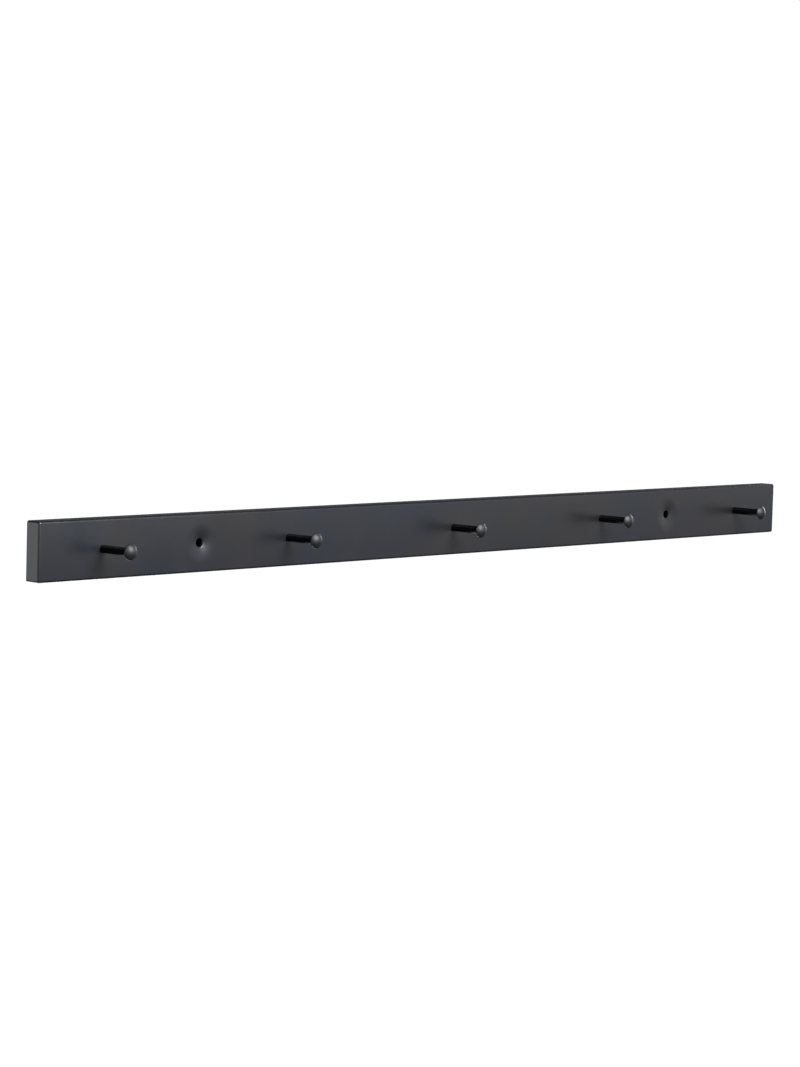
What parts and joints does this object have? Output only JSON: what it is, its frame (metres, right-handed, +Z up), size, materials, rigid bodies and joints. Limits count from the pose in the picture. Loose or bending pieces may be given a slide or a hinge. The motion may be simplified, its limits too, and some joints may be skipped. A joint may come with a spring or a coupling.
{
  "type": "wall coat rack",
  "caption": "Wall coat rack: a long shallow rail folded from satin black sheet steel, with a row of turned pegs with domed heads and dimpled holes for wall screws.",
  "frame": {"origin": "middle of the wall plane that the rail's open back stands on", "axes": "+X along the rail to the right as seen from the room, +Y into the wall, +Z up"},
  "size_m": [0.8, 0.042, 0.04],
  "materials": {
    "black_lacquer": "satin black lacquer on steel",
    "zinc_plate": "bright zinc plating"
  },
  "bodies": {
    "root": {"rail": "black_lacquer", "screw_sleeves": "black_lacquer", "pegs": "black_lacquer", "peg_washers": "zinc_plate", "peg_nuts": "zinc_plate"}
  },
  "joints": []
}
